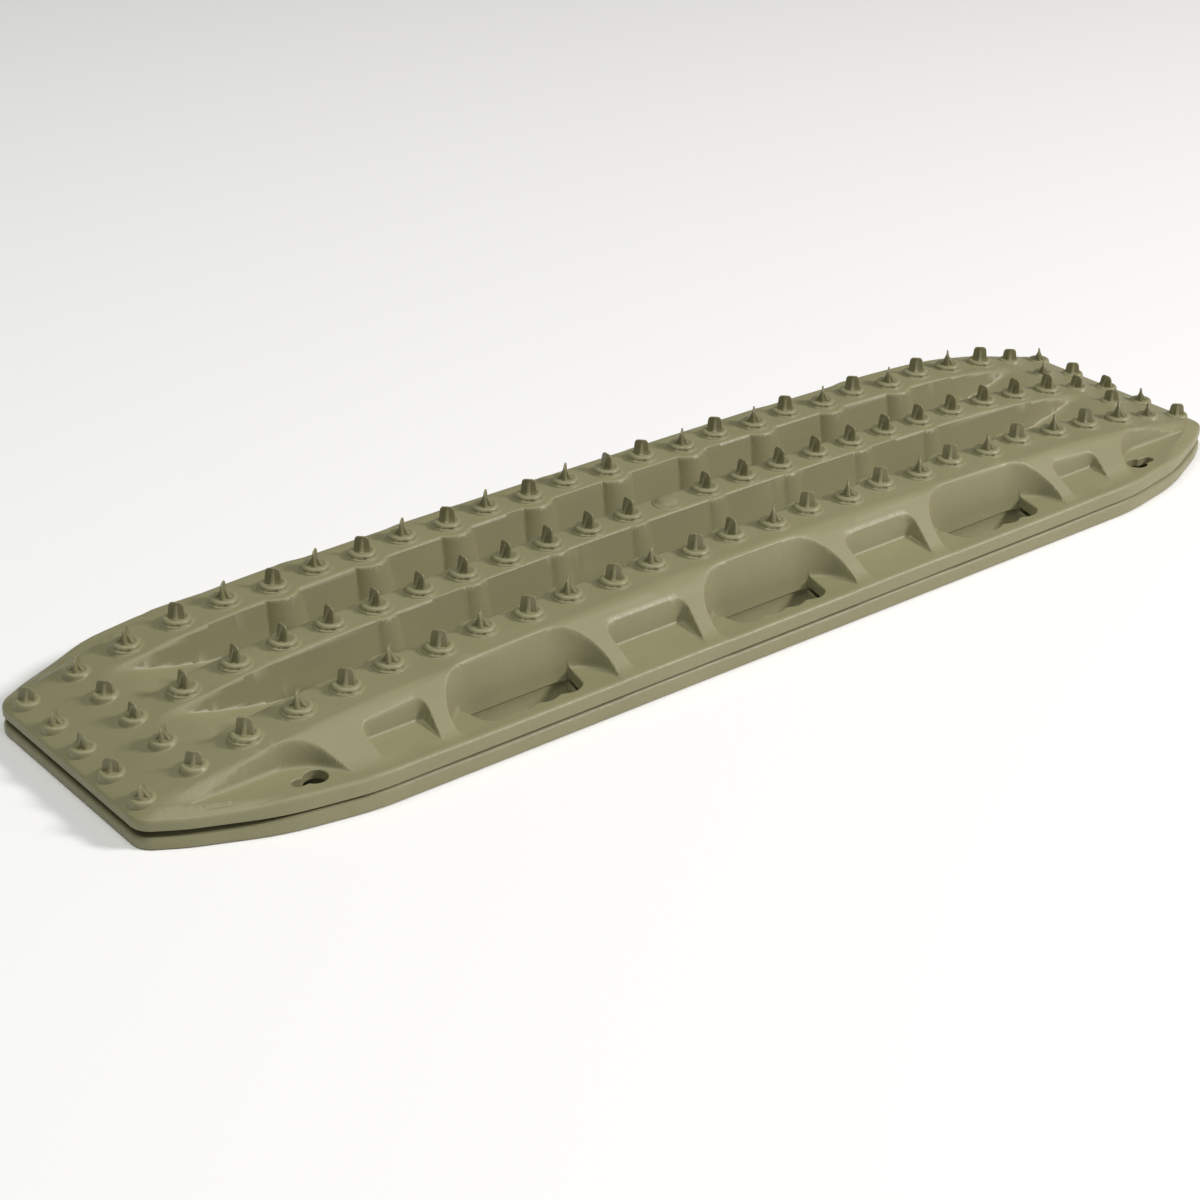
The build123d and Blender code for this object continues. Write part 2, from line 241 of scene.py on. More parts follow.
def ridge_height(x):
    x = np.abs(x)
    arc = BLEND_Z + np.sqrt(np.maximum(BLEND_RADIUS**2 - (x - BLEND_X) ** 2, 0))
    crown = RIDGE_TOP - x * x / (2 * CROWN_RADIUS)
    return np.where(x <= CROWN_END, crown, np.where(x >= BLEND_END, ramp(x), arc))


def row_x(k):
    if abs(k) <= LAST_EVEN_ROW:
        return PITCH * k
    return math.copysign(PITCH * LAST_EVEN_ROW + 2.3 + RAMP_PITCH * (abs(k) - LAST_EVEN_ROW), k)


def outer_row_y(k):
    if abs(k) > 8:
        return OUTER_ROW_END
    return OUTER_ROW_NEAR if k % 2 == 0 else OUTER_ROW_FAR


def crest_angle(k, side):
    if k == 0:
        return 90
    turn = 45 if k % 2 == 0 else -45
    if abs(k) >= ROWS - 1:
        turn = -turn
    return turn * side * (1 if k > 0 else -1)


def tooth_places():
    """Every tooth as (group, x, y, crest angle, is on a ramp)."""
    places = []
    for k in range(-ROWS, ROWS + 1):
        on_ramp = abs(k) >= ROWS - 1
        end = "front" if k > 0 else "rear"
        group = {-1: "right_row", 0: "centre_row", 1: "left_row"}
        for side in (-1, 0, 1):
            if k == 0 and side == 0:
                continue
            angle = 90 if side == 0 else crest_angle(k, side)
            name = end + "_ramp" if on_ramp else group[side]
            places.append((name, row_x(k), side * outer_row_y(k), angle, on_ramp))
        if on_ramp:
            for side in (-1, 1):
                angle = -crest_angle(k, side)
                places.append((end + "_ramp", row_x(k), side * RAMP_ROW_MID, angle, True))
    return places


TEETH = tooth_places()
END_ROW_X = row_x(ROWS)
TIP_SEATS = [(x, y, on_ramp) for group, x, y, angle, on_ramp in TEETH if x >= 0 and y >= 0]
SEATS = [seat for seat in TIP_SEATS if seat[0] < END_ROW_X] + [(0.0, 0.0, False)]


def is_low_seat(x, on_ramp):
    return on_ramp or abs(x) > BLEND_END


# ---------------------------------------------------------------- plan loops
def rounded_path(corners, radii, step, closed):
    """Points along a path with rounded corners that turns left, and the outward normal at each."""
    corners = [np.array(c, float) for c in corners]
    count = len(corners)
    spans = [(corners[i], corners[(i + 1) % count]) for i in range(count if closed else count - 1)]
    normals = []
    for a, b in spans:
        along = (b - a) / np.linalg.norm(b - a)
        normals.append(np.array([along[1], -along[0]]))
    points, outward = [], []

    def straight_to(target, normal):
        start = points[-1]
        pieces = max(1, math.ceil(np.linalg.norm(target - start) / step))
        for i in range(1, pieces):
            points.append(start + (target - start) * i / pieces)
            outward.append(normal)

    order = range(count) if closed else range(1, count - 1)
    if not closed:
        points.append(corners[0])
        outward.append(normals[0])
    for i in order:
        before, after = normals[i - 1], normals[i % len(normals)]
        centre = corners[i] - (before + after) * radii[i] / (1 + before @ after)
        turn = math.atan2(before[0] * after[1] - before[1] * after[0], before @ after)
        by_angle = math.ceil(abs(turn) / math.radians(10))
        by_length = math.ceil(abs(turn) * radii[i] / (2 * step))
        pieces = max(2, by_angle, by_length)
        start_angle = math.atan2(before[1], before[0])
        if points:
            straight_to(centre + radii[i] * before, before)
        for j in range(pieces + 1):
            angle = start_angle + turn * j / pieces
            normal = np.array([math.cos(angle), math.sin(angle)])
            points.append(centre + radii[i] * normal)
            outward.append(normal)
    if closed:
        straight_to(points[0], normals[-1])
    else:
        straight_to(corners[-1], normals[-1])
        points.append(corners[-1])
        outward.append(normals[-1])
    return np.array(points), np.array(outward)


def outline_loop():
    """The outline from the middle of the front edge, round the left side, to that of the rear."""
    corners = [(LENGTH / 2, 0.0)] + OUTLINE[::-1] + [(-x, y) for x, y in OUTLINE] + [(-LENGTH / 2, 0.0)]
    radii = [0.0] + OUTLINE_RADII[::-1] + OUTLINE_RADII + [0.0]
    return rounded_path(corners, radii, 6.0, False)


OUTLINE_POINTS, OUTLINE_NORMALS = outline_loop()


def half_width(x):
    front = OUTLINE_POINTS[OUTLINE_POINTS[:, 0] >= 0][::-1]
    return float(np.interp(abs(x), front[:, 0], front[:, 1]))


def distance_in(x, y):
    """Distance in from the outline, for places in the first quadrant."""
    near = OUTLINE_POINTS[OUTLINE_POINTS[:, 0] > 350]
    a, b = near[:-1], near[1:]
    along = b - a
    span = (along**2).sum(1)
    best = np.full(len(x), 1e9)
    for i in range(len(a)):
        px, py = x - a[i, 0], y - a[i, 1]
        t = np.clip((px * along[i, 0] + py * along[i, 1]) / span[i], 0, 1)
        best = np.minimum(best, (px - t * along[i, 0]) ** 2 + (py - t * along[i, 1]) ** 2)
    return np.sqrt(best)


def slot_loop():
    """The finger slot of the handle at x = 0, and the outward normals along it."""
    lift = (SLOT_LEVEL - SHELF_Z) * DRAFT_RUN
    back = HANDLE_WALL_FOOT - lift
    wall_radius = HANDLE_CORNER_RADIUS + lift
    bend = HANDLE_CORNER_X + wall_radius * math.tan(SLOT_END_TURN / 2)
    half = [
        ((bend, back), wall_radius),
        ((SLOT_TIP, back + (SLOT_TIP - bend) * math.tan(SLOT_END_TURN)), 3.5),
        ((SLOT_HALF, SLOT_OUTER), 7.0),
    ]
    corners = [c for c, r in half] + [(-x, y) for (x, y), r in reversed(half)]
    radii = [r for c, r in half] + [r for c, r in reversed(half)]
    return rounded_path(corners, radii, 2.2, True)


def scallops(x):
    """Depth of the finger scallops along the grip edge, from 0 to 1."""
    wave = np.sqrt(np.sin(math.pi * x / SCALLOP_PITCH) ** 2 + 0.02) - 0.14
    return np.where(np.abs(x) < 2 * SCALLOP_PITCH, np.maximum(wave, 0) / 0.87, 0)


def keyhole_loop(offset):
    """The keyhole at the front left, grown by offset."""
    (large_x, large_r), (small_x, small_r) = KEYHOLE_LARGE, KEYHOLE_SMALL
    big, small = large_r + offset, small_r + offset
    gap = math.asin(small / big)
    points = []
    for i in range(29):
        angle = gap + (2 * math.pi - 2 * gap) * i / 28
        points.append((large_x + big * math.cos(angle), KEYHOLE_Y + big * math.sin(angle)))
    neck = large_x + big * math.cos(gap)
    for i in (1, 2):
        points.append((neck + (small_x - neck) * i / 3, KEYHOLE_Y - small))
    for i in range(13):
        angle = -math.pi / 2 + math.pi * i / 12
        points.append((small_x + small * math.cos(angle), KEYHOLE_Y + small * math.sin(angle)))
    for i in (2, 1):
        points.append((neck + (small_x - neck) * i / 3, KEYHOLE_Y + small))
    return np.array(points)


# ---------------------------------------------------------------- the surface
def brim_profile(r, radius):
    """A low step round a seat that falls away outside the radius."""
    return np.minimum(BRIM_HEIGHT, BRIM_HEIGHT - BRIM_FALL * (r - radius))


def seat_profile(r, low):
    """Height of a tooth's seat above the ridge at distance r from the tooth."""
    middle, half, centre = (np.where(low, a, b) for a, b in zip(LOW_SEAT_RING, SEAT_RING))
    roll = centre + half * np.sqrt(np.clip(1 - ((r - middle) / half) ** 2, 0, 1))
    roll = np.where(r > middle + half, centre - RING_FALL * (r - middle - half), roll)
    inner = np.where(r < middle, np.where(low, LOW_SEAT_FLOOR, SEAT_FLOOR), NOTHING)
    brim = np.where(low, NOTHING, brim_profile(r, SEAT_BRIM))
    height = np.maximum(np.maximum(roll, inner), brim)
    return np.where(height < -SEAT_REACH, NOTHING, height)


def boss_profile(r):
    """Height of the blank dome in the middle of the board above the ridge."""
    dome = BOSS_HEIGHT * np.sqrt(np.clip(1 - (r / BOSS_RADIUS) ** 3, 0, 1))
    brim = brim_profile(r, BOSS_BRIM)
    height = np.where(r < BOSS_RADIUS, np.maximum(dome, brim), brim)
    return np.where(height < -SEAT_REACH, NOTHING, height)


class Form:
    """Signed depth of the plastic over given places: below zero inside it."""

    def __init__(self, x, y, seats):
        self.x, self.y = np.abs(x), np.abs(y)
        x, y = self.x, self.y
        self.ridge = ridge_height(x)
        slope = RAMP_SLOPE * smooth(x, CROWN_END, BLEND_END)
        self.ridge_scale = 1 / np.sqrt(1 + slope**2)
        self.flanks = []
        corner = [(0.0, WIDTH / 2)] + OUTLINE
        for (x0, y0), (x1, y1) in zip(corner, corner[1:]):
            span = math.hypot(x1 - x0, y1 - y0)
            nx, ny = -(y1 - y0) / span, (x1 - x0) / span
            self.flanks.append((x - x0) * nx + (y - y0) * ny + FLANK_SETBACK)
        self.end_rim = np.full(len(x), 99.0)
        near_end = x > END_RIM_FROM - 10
        if near_end.any():
            inward = distance_in(x[near_end], y[near_end])
            rim = FLANGE_TOP + (END_RIM_TOP - FLANGE_TOP) * smooth(x[near_end], END_RIM_FROM, END_RIM_TO)
            self.end_rim[near_end] = rim + END_RIM_SLOPE * inward + 3 * np.maximum(inward - 10, 0)
        even = np.clip(np.round(x / (2 * PITCH)), 0, 4) * 2 * PITCH
        odd = (2 * np.clip(np.round((x / PITCH - 1) / 2), 0, 3) + 1) * PITCH
        self.outer_post = np.hypot(x - even, y - OUTER_ROW_NEAR)
        self.centre_post = np.hypot(x - odd, y)
        u = np.where(x < HANDLE_SPACING / 2, x, np.abs(x - HANDLE_SPACING)) - HANDLE_CORNER_X
        w = HANDLE_WALL_FOOT + HANDLE_CORNER_RADIUS - y
        self.handle = corner_gap(u, w, HANDLE_CORNER_RADIUS)
        self.handle_edge = 0.9 + 2.1 * (1 - smooth(y, 108, 117))
        self.pockets = []
        for centre, half in POCKETS:
            u = np.abs(x - centre) - (half - POCKET_INSET - POCKET_CORNER)
            w = POCKET_FOOT + POCKET_CORNER - y
            self.pockets.append(corner_gap(u, w, POCKET_CORNER))
        nx, ny = END_SCOOP_NORMAL
        mouth = (x - END_SCOOP_CORNER) * nx + (y - END_SCOOP_FOOT) * ny
        self.scoop = overlap(END_SCOOP_FOOT - y, mouth, END_SCOOP_ROUND)
        self.scoop_edge = 0.4 + 1.2 * (1 - smooth(x, 450, 520)) * (1 - smooth(y, 125, 150))
        self.scoop_foot = 0.8 + 2.4 * (1 - smooth(x, 470, 530))
        self.channel_edge = CHANNEL_EDGE + (CHANNEL_END_EDGE - CHANNEL_EDGE) * smooth(x, 450, 500)
        self.seat = None
        if seats:
            best, height, low = np.full(len(x), 1e9), np.zeros(len(x)), np.zeros(len(x), bool)
            for sx, sy, on_ramp in SEATS:
                r = np.hypot(x - sx, y - sy)
                closer = r < best
                best = np.where(closer, r, best)
                height = np.where(closer, float(ridge_height(np.array(sx))), height)
                low = np.where(closer, is_low_seat(sx, on_ramp), low)
            boss = best == np.hypot(x, y)
            profile, inner, outer = (
                np.where(boss, boss_profile(r), seat_profile(r, low))
                for r in (best, best - 0.02, best + 0.02)
            )
            slope = (outer - inner) / 0.04
            slope = np.where(np.abs(slope) > STEEPEST, 0, slope)
            self.seat = height + profile
            self.seat_scale = 1 / np.sqrt(1 + slope**2)

    def depth(self, z):
        x, y = self.x, self.y
        lean = math.hypot(1, FLANK_SLOPE)
        depth = (self.flanks[0] * FLANK_SLOPE + z - FLANGE_TOP) / lean
        for flank in self.flanks[1:]:
            depth = overlap(depth, (flank * FLANK_SLOPE + z - FLANGE_TOP) / lean, FLANK_E)
        depth = union(depth, z - FLANGE_TOP, FLANGE_C)
        depth = overlap(depth, (z - self.ridge) * self.ridge_scale, CREST_E)
        depth = overlap(depth, (z - self.end_rim) / math.hypot(1, END_RIM_SLOPE), END_RIM_E)
        below = (RIDGE_TOP - z) * DRAFT_RUN
        centre = (y - CENTRE_RIDGE_HALF - below) * DRAFT_COS
        outer = (OUTER_RIDGE_INNER - below - y) * DRAFT_COS
        post = (self.centre_post - CENTRE_PILASTER_RADIUS - below) * DRAFT_COS
        centre = union(centre, post, PILASTER_C)
        post = (self.outer_post - OUTER_PILASTER_RADIUS - below) * DRAFT_COS
        outer = union(outer, post, PILASTER_C)
        rise = (z - CHANNEL_FLOOR - CHANNEL_RISE * (x - CHANNEL_RUN)) / math.hypot(1, CHANNEL_RISE)
        channel = union(z - CHANNEL_FLOOR, rise, CHANNEL_BEND)
        channel = union(union(centre, channel, CHANNEL_C), outer, CHANNEL_C)
        depth = overlap(depth, channel, self.channel_edge)
        wall = ((z - SHELF_Z) * DRAFT_RUN - self.handle) * DRAFT_COS
        depth = overlap(depth, union(z - SHELF_Z, wall, SHELF_C), self.handle_edge)
        for gap in self.pockets:
            wall = (z * DRAFT_RUN - gap) * DRAFT_COS
            bed = (z - FLANGE_TOP - POCKET_FALL * (POCKET_FRONT - y)) / math.hypot(1, POCKET_FALL)
            bed = union(bed, z - FLANGE_TOP - 1.0, POCKET_BED_C)
            depth = overlap(depth, union(bed, wall, POCKET_C), POCKET_E)
        wall = ((z - SHELF_Z) * DRAFT_RUN - self.scoop) * DRAFT_COS
        depth = overlap(depth, union(z - SHELF_Z, wall, self.scoop_foot), self.scoop_edge)
        if self.seat is not None:
            depth = union(depth, (z - self.seat) * self.seat_scale, SEAT_C)
        return depth


def surface_height(x, y, inset=0.0):
    """Height of the surface that lies inset under the top one; only the top one has the seats."""
    form = Form(x, y, seats=not inset)
    low, high = np.full(len(x), -20.0), np.full(len(x), 70.0)
    for step in range(24):
        middle = (low + high) / 2
        above = form.depth(middle) > -inset
        high = np.where(above, middle, high)
        low = np.where(above, low, middle)
    return (low + high) / 2


def tip_pocket_height(x, y):
    """Height of the blind holes under the seats, and far down away from them."""
    x, y = np.abs(x), np.abs(y)
    height = np.full(len(x), NOTHING)
    fall = TIP_POCKET_DEPTH / (TIP_POCKET_MOUTH - TIP_POCKET_TOP)
    for sx, sy, on_ramp in TIP_SEATS:
        r = np.hypot(x - sx, y - sy)
        collar = RAMP_COLLAR_HEIGHT if on_ramp else COLLAR_HEIGHT
        tooth = RAMP_TOOTH_HEIGHT if on_ramp else TOOTH_HEIGHT
        top = float(ridge_height(np.array(sx))) + collar + tooth - NEST_STEP + TIP_CLEARANCE
        profile = top - fall * np.maximum(r - TIP_POCKET_TOP, 0)
        height = np.where(r < TIP_POCKET_MOUTH + 2, np.maximum(height, profile), height)
    return height


def under_height(x, y):
    return np.maximum(surface_height(x, y, WALL), tip_pocket_height(x, y))


def top_normals(x, y, z):
    e = 0.04
    grad = [
        Form(x + e, y, True).depth(z) - Form(x - e, y, True).depth(z),
        Form(x, y + e, True).depth(z) - Form(x, y - e, True).depth(z),
    ]
    form = Form(x, y, True)
    grad.append(form.depth(z + e) - form.depth(z - e))
    grad = np.stack(grad, 1)
    return grad / np.linalg.norm(grad, axis=1)[:, None]


def under_normals(x, y):
    e = 0.04
    gx = (under_height(x + e, y) - under_height(x - e, y)) / (2 * e)
    gy = (under_height(x, y + e) - under_height(x, y - e)) / (2 * e)
    normal = np.stack([gx, gy, -np.ones(len(x))], 1)
    return normal / np.linalg.norm(normal, axis=1)[:, None]


# ---------------------------------------------------------------- points and triangles
def quadtree_corners(height, smallest, tolerance):
    """Corners of square cells that are small where the surface bends, in the first quadrant."""
    size = COARSE_CELL
    gx, gy = np.meshgrid(np.arange(0, LENGTH / 2 + size, size), np.arange(0, WIDTH / 2 + size, size))
    cells = np.stack([gx.ravel(), gy.ravel()], 1)
    sides = [((0, 0), (0, 2), (0, 1)), ((2, 0), (2, 2), (2, 1))]
    sides += [((0, 0), (2, 0), (1, 0)), ((0, 2), (2, 2), (1, 2))]
    quarters = np.array([(0, 0), (1, 0), (0, 1), (1, 1)])
    kept = []
    while len(cells):
        steps = np.array([(i, j) for j in (0, 0.5, 1) for i in (0, 0.5, 1)]) * size
        spots = (cells[:, None, :] + steps[None]).reshape(-1, 2)
        z = height(spots[:, 0], spots[:, 1]).reshape(-1, 3, 3)
        flat = (z[:, 0, 0] + z[:, 0, 2] + z[:, 2, 0] + z[:, 2, 2]) / 4
        error = np.abs(z[:, 1, 1] - flat)
        for a, b, m in sides:
            bend = np.abs(z[:, m[0], m[1]] - (z[:, a[0], a[1]] + z[:, b[0], b[1]]) / 2)
            error = np.maximum(error, bend)
        tilt = np.ptp(z.reshape(len(z), -1), axis=1) / size
        split = (error / np.sqrt(1 + tilt**2) > tolerance) & (size / 2 >= smallest)
        done = cells[~split]
        kept += [done + quarter * size for quarter in quarters]
        size /= 2
        cells = (cells[split][:, None, :] + quarters[None] * size).reshape(-1, 2)
    return np.unique(np.round(np.concatenate(kept) * 64).astype(np.int64), axis=0) / 64.0


def inside(points, loop):
    """Which points lie inside a closed loop."""
    odd = np.zeros(len(points), bool)
    px, py = points[:, 0], points[:, 1]
    for (x0, y0), (x1, y1) in zip(loop, np.roll(loop, -1, axis=0)):
        if y0 == y1:
            continue
        crosses = ((y0 > py) != (y1 > py)) & (px < (x1 - x0) * (py - y0) / (y1 - y0) + x0)
        odd ^= crosses
    return odd


def near_loop(points, loop, reach):
    """Which points lie within reach of a loop's vertices."""
    near = np.zeros(len(points), bool)
    low, high = loop.min(0) - reach, loop.max(0) + reach
    picked = np.where(((points >= low) & (points <= high)).all(1))[0]
    for start in range(0, len(picked), 4000):
        part = picked[start : start + 4000]
        gap = np.linalg.norm(points[part][:, None, :] - loop[None], axis=2).min(1)
        near[part] = gap < reach
    return near


def sheet(height, smallest, tolerance, rim, holes, rings, segments, seats):
    """Triangulates the half board y >= 0 inside the rim path and outside the holes."""
    quadrant = quadtree_corners(height, smallest, tolerance)
    mirrored = quadrant[quadrant[:, 0] > 0] * np.array([-1, 1])
    points = np.concatenate([quadrant, mirrored])
    domain = np.concatenate([rim, [[-LENGTH / 2, -1.0], [LENGTH / 2, -1.0]]])
    points = points[inside(points, domain) & ~near_loop(points, rim, 3.6)]
    for hole in holes:
        points = points[~inside(points, hole) & ~near_loop(points, hole, 0.9)]
    extra = []
    for sx, sy, low in seats:
        shrink = LOW_SEAT_SHRINK if low else 0
        points = points[np.hypot(points[:, 0] - sx, points[:, 1] - sy) > rings[-1] - shrink + 0.7]
        extra.append((sx, sy))
        for r in np.array(rings) - shrink:
            for j in range(segments):
                angle = 2 * math.pi * j / segments
                x, y = sx + r * math.cos(angle), sy + r * math.sin(angle)
                if abs(y) < 1e-6:
                    extra.append((x, 0.0))
                elif y > 0:
                    extra.append((x, y))
    coords = [Vector(p) for p in points] + [Vector(p) for p in extra]
    edges, loops = [], []
    for loop, closed in [(rim, False)] + [(hole, True) for hole in holes]:
        first = len(coords)
        coords += [Vector(p) for p in loop]
        ids = list(range(first, len(coords)))
        loops.append(ids)
        edges += list(zip(ids, ids[1:])) + ([(ids[-1], ids[0])] if closed else [])
    verts, _, faces, origin, _, _ = delaunay_2d_cdt(coords, edges, [], 0, 1e-6, True)
    plan = np.array([tuple(v) for v in verts])
    place = {}
    for new, olds in enumerate(origin):
        for old in olds:
            place[old] = new
    faces = np.array(faces)
    middle = plan[faces].mean(1)
    keep = inside(middle, domain)
    for hole in holes:
        keep &= ~inside(middle, hole)
    return plan, faces[keep], [[place[i] for i in ids] for ids in loops]


class Shell:
    """Collects vertices, normals and faces of one board, in mm."""

    def __init__(self):
        self.points, self.normals, self.faces, self.count = [], [], [], 0

    def add(self, points, normals):
        first = self.count
        self.points.append(np.asarray(points, float))
        self.normals.append(np.asarray(normals, float))
        self.count += len(points)
        return np.arange(first, self.count)

    def strip(self, first, last, rows, closed, flip):
        """Quads from vertex ring first through rows of new points to vertex ring last."""
        rings = [np.asarray(first)]
        spots = [self.place(first)] + rows + [self.place(last)]
        for i, row in enumerate(rows):
            across = spots[i + 2] - spots[i]
            along = np.roll(row, -1, axis=0) - np.roll(row, 1, axis=0)
            if not closed:
                along[0], along[-1] = row[1] - row[0], row[-1] - row[-2]
                along[0][0], along[-1][0] = 0, 0
            normal = np.cross(across, along) * (1 if flip else -1)
            normal /= np.maximum(np.linalg.norm(normal, axis=1), 1e-9)[:, None]
            rings.append(self.add(row, normal))
        rings.append(np.asarray(last))
        for a, b in zip(rings, rings[1:]):
            pairs = list(zip(range(len(a) - 1), range(1, len(a))))
            for i, j in pairs + ([(len(a) - 1, 0)] if closed else []):
                quad = (a[i], a[j], b[j], b[i])
                self.faces.append(quad[::-1] if flip else quad)

    def place(self, ids):
        return np.concatenate(self.points)[np.asarray(ids)]


def half_shell():
    shell = Shell()
    slot_points, slot_out = slot_loop()
    holes_top, holes_under, hole_kinds = [], [], []
    bump = np.maximum(slot_out[:, 1], 0)[:, None] * np.array([0, 1.0])
    scallop = bump * scallops(slot_points[:, 0])[:, None] * SCALLOP_DEPTH
    even = np.clip(1 - (slot_points[:, 0] / SLOT_HALF) ** 6, 0, 1) ** 0.5
    full = bump * even[:, None] * SCALLOP_DEPTH
    for spot in (-HANDLE_SPACING, 0.0, HANDLE_SPACING):
        shift = np.array([spot, 0])
        holes_top.append(slot_points + slot_out * SLOT_EDGE + scallop + shift)
        holes_under.append(slot_points + slot_out * SLOT_UNDER + full + shift)
        hole_kinds.append(("slot", shift))
    for side in (-1, 1):
        flip = np.array([side, 1])
        loops = [keyhole_loop(grown) * flip for grown in (KEYHOLE_EDGE, KEYHOLE_UNDER)]
        if side < 0:
            loops = [loop[::-1] for loop in loops]
        holes_top.append(loops[0])
        holes_under.append(loops[1])
        hole_kinds.append(("keyhole", side))
    rim = OUTLINE_POINTS - OUTLINE_NORMALS * RIM_BAND
    seats = sorted({(s * x, y, is_low_seat(x, low)) for x, y, low in SEATS for s in (-1, 1)})
    plan, faces, loops = sheet(
        surface_height, TOP_CELL, TOP_TOLERANCE, rim, holes_top, SEAT_RINGS, SEAT_SEGMENTS, seats
    )
    z = surface_height(plan[:, 0], plan[:, 1])
    top = shell.add(np.column_stack([plan, z]), top_normals(plan[:, 0], plan[:, 1], z))
    shell.faces += [tuple(top[f]) for f in faces]
    tips = sorted({(s * x, y, False) for x, y, low in TIP_SEATS for s in (-1, 1)})
    plan, faces, under_loops = sheet(
        under_height, UNDER_CELL, UNDER_TOLERANCE, rim, holes_under, TIP_RINGS, TIP_SEGMENTS, tips
    )
    z = under_height(plan[:, 0], plan[:, 1])
    under = shell.add(np.column_stack([plan, z]), under_normals(plan[:, 0], plan[:, 1]))
    shell.under_faces = [tuple(under[f][::-1]) for f in faces]

    # the rim, from the top surface over the edge and under to the inner surface
    start, end = top[loops[0]], under[under_loops[0]]
    h0, h1 = shell.place(start)[:, 2], shell.place(end)[:, 2]
    further = OUTLINE_POINTS - OUTLINE_NORMALS * (RIM_BAND + 0.6)
    slope = np.clip((surface_height(further[:, 0], further[:, 1]) - h0) / 0.6, 0, 0.5)
    edge_top = h0 - slope * RIM_BAND
    tilt = np.arctan(slope)
    centre_z = edge_top + slope * RIM_ROUND - RIM_ROUND / np.cos(tilt)
    rows = []
    for k in range(7):
        angle = tilt + (math.pi / 2 - tilt) * k / 6
        rows.append((RIM_ROUND * (1 - np.sin(angle)), centre_z + RIM_ROUND * np.cos(angle)))
    for inward, height in ((0, 0.9), (0.26, 0.26), (0.9, 0.0), (1.9, 0.0), (2.4, 0.2), (WALL, 0.7)):
        rows.append((inward, height))
    for inward, drop in ((WALL, 1.5), (3.0, 0.45), (4.2, 0.0)):
        rows.append((inward, h1 - slope * (RIM_BAND - inward) - drop))
    grid = []
    for inward, height in rows:
        inward = np.broadcast_to(inward, len(h0))[:, None]
        spot = OUTLINE_POINTS - OUTLINE_NORMALS * inward
        grid.append(np.column_stack([spot, np.broadcast_to(height, len(h0))]))
    shell.strip(start, end, grid, closed=False, flip=True)

    # the slots and keyholes
    back = smooth(-slot_out[:, 1], 0.2, 0.8)
    for (kind, which), loop, under_loop in zip(hole_kinds, loops[1:], under_loops[1:]):
        start, end = top[loop], under[under_loop]
        h0, h1 = shell.place(start)[:, 2], shell.place(end)[:, 2]
        grid = []
        if kind == "slot":
            lip_rise = (0.9, 0.26, 0.0, 0.0, 0.26, 0.9)
            grip = [(0.93, h0 - 0.11), (0.44, h0 - 0.44), (0.11, h0 - 0.93), (0.0, h0 - 1.5)]
            grip_out = (0.0, 0.26, 0.9, 1.5, 2.14, LIP)
            grip += [(o, LIP_BOTTOM + rise) for o, rise in zip(grip_out, lip_rise)]
            grip += [(LIP, h1 - 1.2), (2.75, h1 - 0.35)]
            wall = [(o, h0 - (SLOT_EDGE - o) / DRAFT_RUN) for o in (1.1, 0.7, 0.3, 0.0)]
            wall_out = (-2.68, -2.5, -2.0, -0.8, -0.25, 0.0)
            wall += [(o, LIP_BOTTOM + rise) for o, rise in zip(wall_out, lip_rise)]
            wall += [(o, h1 - (SLOT_UNDER - o) / DRAFT_RUN) for o in (1.2, 2.4)]
            for j, ((grip_o, grip_z), (wall_o, wall_z)) in enumerate(zip(grip, wall)):
                o = back * wall_o + (1 - back) * grip_o
                z = back * wall_z + (1 - back) * grip_z
                wave = scallop if j < 7 else full
                if j in (6, 7):
                    wave = (scallop + full) / 2
                spot = slot_points + slot_out * o[:, None] + wave + which
                grid.append(np.column_stack([spot, z]))
        else:
            rows = [(0.58, h0 - 0.17), (0.17, h0 - 0.58), (0.0, h0 - 1.2)]
            lip = ((0.0, 0.8), (0.23, 0.23), (0.8, 0), (1.2, 0), (1.77, 0.23), (2.0, 0.8))
            rows += [(o, KEYHOLE_LIP_BOTTOM + rise) for o, rise in lip]
            rows += [(2.0, h1 - 1.0), (2.3, h1 - 0.3)]
            for o, z in rows:
                spot = keyhole_loop(o) * np.array([which, 1])
                if which < 0:
                    spot = spot[::-1]
                grid.append(np.column_stack([spot, np.broadcast_to(z, len(h0))]))
        shell.strip(start, end, grid, closed=True, flip=False)
    return shell


def rib_blade(a, b, tops, bottom, thickness):
    """A drafted blade from plan point a to b whose upper edge follows the given heights."""
    a, b = np.array(a, float), np.array(b, float)
    along = (b - a) / np.linalg.norm(b - a)
    side = np.array([-along[1], along[0]])
    spots = [a + (b - a) * t for t in np.linspace(0, 1, len(tops))]
    points, faces = [], []
    half = thickness / 2
    section = [(-half, None), (0.3 - half, 0.5), (0.7 - half, 0.0)]
    section += [(-shift, rise) for shift, rise in reversed(section)]
    for spot, top in zip(spots, tops):
        for shift, rise in section:
            points.append((*(spot + side * shift), top if rise is None else bottom + rise))
    n = len(section)
    for i in range(len(spots) - 1):
        for j in range(n):
            k = (j + 1) % n
            faces.append((i * n + j, i * n + k, (i + 1) * n + k, (i + 1) * n + j))
    faces.append(tuple(range(n))[::-1])
    faces.append(tuple((len(spots) - 1) * n + j for j in range(n)))
    return points, faces


